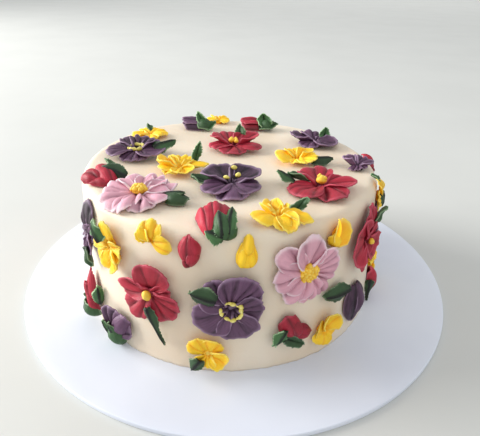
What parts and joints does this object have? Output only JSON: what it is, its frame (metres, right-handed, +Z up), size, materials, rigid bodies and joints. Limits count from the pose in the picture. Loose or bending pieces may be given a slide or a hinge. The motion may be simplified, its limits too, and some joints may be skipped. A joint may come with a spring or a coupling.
{
  "type": "decorated round cake on board",
  "caption": "Round iced cake with piped buttercream flowers and leaves over its top and side, built together with the flat round board it stands on.",
  "frame": {"origin": "middle of the board's underside", "axes": "+Z up out of the cake's top; -Y towards the viewer of the picture, +X to that viewer's right"},
  "size_m": [0.305, 0.305, 0.1083],
  "materials": {
    "icing": "satin",
    "board": "satin",
    "red_buttercream": "satin",
    "pink_buttercream": "satin",
    "purple_buttercream": "satin",
    "yellow_buttercream": "satin",
    "green_buttercream": "satin",
    "centre_buttercream": "satin"
  },
  "bodies": {
    "root": {"board": "board", "cake": "icing", "side_blossom_1": "red_buttercream", "side_blossom_2": "pink_buttercream", "side_blossom_3": "red_buttercream", "side_blossom_4": "pink_buttercream", "side_blossom_5": "red_buttercream", "side_blossom_6": "pink_buttercream", "side_blossom_7": "red_buttercream", "side_blossom_8": "pink_buttercream", "side_bud_1": "purple_buttercream", "side_bud_10": "red_buttercream", "side_bud_2": "red_buttercream", "side_bud_3": "yellow_buttercream", "side_bud_4": "red_buttercream", "side_bud_5": "red_buttercream", "side_bud_6": "purple_buttercream", "side_bud_7": "yellow_buttercream", "side_bud_8": "red_buttercream", "side_bud_9": "purple_buttercream", "side_pansy_1": "purple_buttercream", "side_pansy_2": "purple_buttercream", "side_pansy_3": "purple_buttercream", "side_pansy_4": "purple_buttercream", "side_pansy_5": "purple_buttercream", "side_petal_1": "purple_buttercream", "side_primrose_1": "yellow_buttercream", "side_primrose_10": "yellow_buttercream", "side_primrose_11": "yellow_buttercream", "side_primrose_12": "yellow_buttercream", "side_primrose_2": "yellow_buttercream", "side_primrose_3": "yellow_buttercream", "side_primrose_4": "yellow_buttercream", "side_primrose_5": "yellow_buttercream", "side_primrose_6": "yellow_buttercream", "side_primrose_7": "yellow_buttercream", "side_primrose_8": "yellow_buttercream", "side_primrose_9": "yellow_buttercream", "side_tulip_1": "red_buttercream", "side_tulip_2": "yellow_buttercream", "side_tulip_3": "red_buttercream", "side_tulip_4": "red_buttercream", "side_tulip_5": "yellow_buttercream", "side_tulip_6": "red_buttercream", "top_blossom_back": "red_buttercream", "top_blossom_front": "pink_buttercream", "top_blossom_right": "red_buttercream", "top_bud_back": "purple_buttercream", "top_pair_right": "purple_buttercream", "top_pansy_front": "purple_buttercream", "top_pansy_left": "purple_buttercream", "top_pansy_right": "purple_buttercream", "top_primrose_back": "yellow_buttercream", "top_primrose_centre": "yellow_buttercream", "top_primrose_front": "yellow_buttercream", "top_primrose_left": "yellow_buttercream", "top_primrose_right": "yellow_buttercream", "top_tulip_back": "red_buttercream", "top_tulip_front": "red_buttercream", "top_tulip_left": "red_buttercream"}
  },
  "joints": []
}
